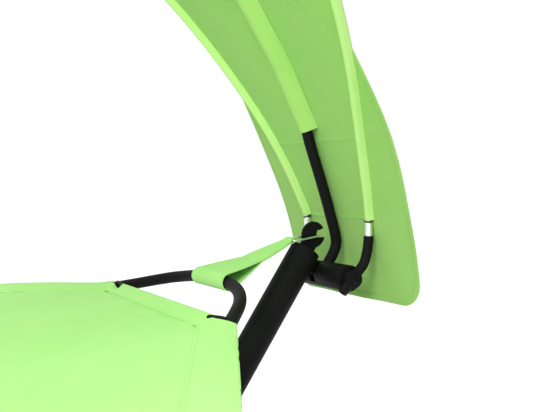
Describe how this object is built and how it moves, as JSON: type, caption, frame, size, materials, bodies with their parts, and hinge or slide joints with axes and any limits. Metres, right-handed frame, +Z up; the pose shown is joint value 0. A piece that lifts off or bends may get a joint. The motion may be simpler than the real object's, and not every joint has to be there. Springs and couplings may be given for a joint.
{
  "type": "sun lounger with canopy",
  "caption": "Curved fabric bed slung between the hooks of a bent tube stand, under an arched fabric canopy that tilts on its head post.",
  "frame": {"origin": "On the ground, at the middle of the part's box", "axes": "+Z up, +X from the foot end to the head end, +Y to the left of a person who lies in the bed"},
  "size_m": [2.3104, 1.28, 1.7805],
  "materials": {
    "black_paint": "satin black powder coat",
    "bright_steel": "bright zinc plate",
    "black_plastic": "matte moulded",
    "bed_fabric": "smooth matte weave, lime green",
    "canopy_fabric": "smooth matte weave, lime green"
  },
  "bodies": {
    "stand": {"head_post": "black_paint", "head_joint_sleeve": "bright_steel", "head_joint_screw_1": "bright_steel", "head_joint_screw_2": "bright_steel", "head_cross_foot": "black_paint", "head_saddle": "black_paint", "head_saddle_bolt": "bright_steel", "head_saddle_nut": "bright_steel", "head_right_end_cap": "black_plastic", "head_left_end_cap": "black_plastic", "head_hook_plate": "black_paint", "head_post_cap": "black_paint", "foot_post": "black_paint", "foot_joint_sleeve": "bright_steel", "foot_joint_screw_1": "bright_steel", "foot_joint_screw_2": "bright_steel", "foot_cross_foot": "black_paint", "foot_saddle": "black_paint", "foot_saddle_bolt": "bright_steel", "foot_saddle_nut": "bright_steel", "foot_right_end_cap": "black_plastic", "foot_left_end_cap": "black_plastic", "foot_hook_plate": "black_paint", "foot_post_cap": "black_paint", "base_spine": "black_paint", "canopy_lug": "black_paint", "right_friction_washer": "black_plastic", "left_friction_washer": "black_plastic"},
    "canopy": {"canopy_hub": "black_paint", "right_pivot_washer": "black_paint", "left_pivot_washer": "black_paint", "pivot_bolt": "black_paint", "pivot_nut": "black_paint", "right_side_arm": "black_paint", "right_ferrule": "bright_steel", "right_collar": "black_plastic", "right_rib": "bright_steel", "left_side_arm": "black_paint", "left_ferrule": "bright_steel", "left_collar": "black_plastic", "left_rib": "bright_steel", "centre_arm": "black_paint", "canopy_fabric": "canopy_fabric"},
    "bed": {"head_bow": "black_paint", "foot_bow": "black_paint", "right_side_rail": "black_paint", "left_side_rail": "black_paint", "head_right_joint_plug": "bright_steel", "head_left_joint_plug": "bright_steel", "foot_right_joint_plug": "bright_steel", "foot_left_joint_plug": "bright_steel", "head_spreader": "black_paint", "foot_spreader": "black_paint", "bed_fabric": "bed_fabric", "head_ring": "bright_steel", "foot_ring": "bright_steel", "head_strap": "bed_fabric", "foot_strap": "bed_fabric"}
  },
  "joints": [
    {"name": "canopy_tilt", "type": "hinge", "parent": "stand", "child": "canopy", "pos_m": [1.07582, 0, 0.824], "axis": [0, -1, 0], "range_deg": [-35, 4]},
    {"name": "bed_swing", "type": "hinge", "parent": "stand", "child": "bed", "pos_m": [1.06201, 0, 0.9], "axis": [0.9945, 0, 0.1044], "range_deg": [-10, 10]}
  ]
}
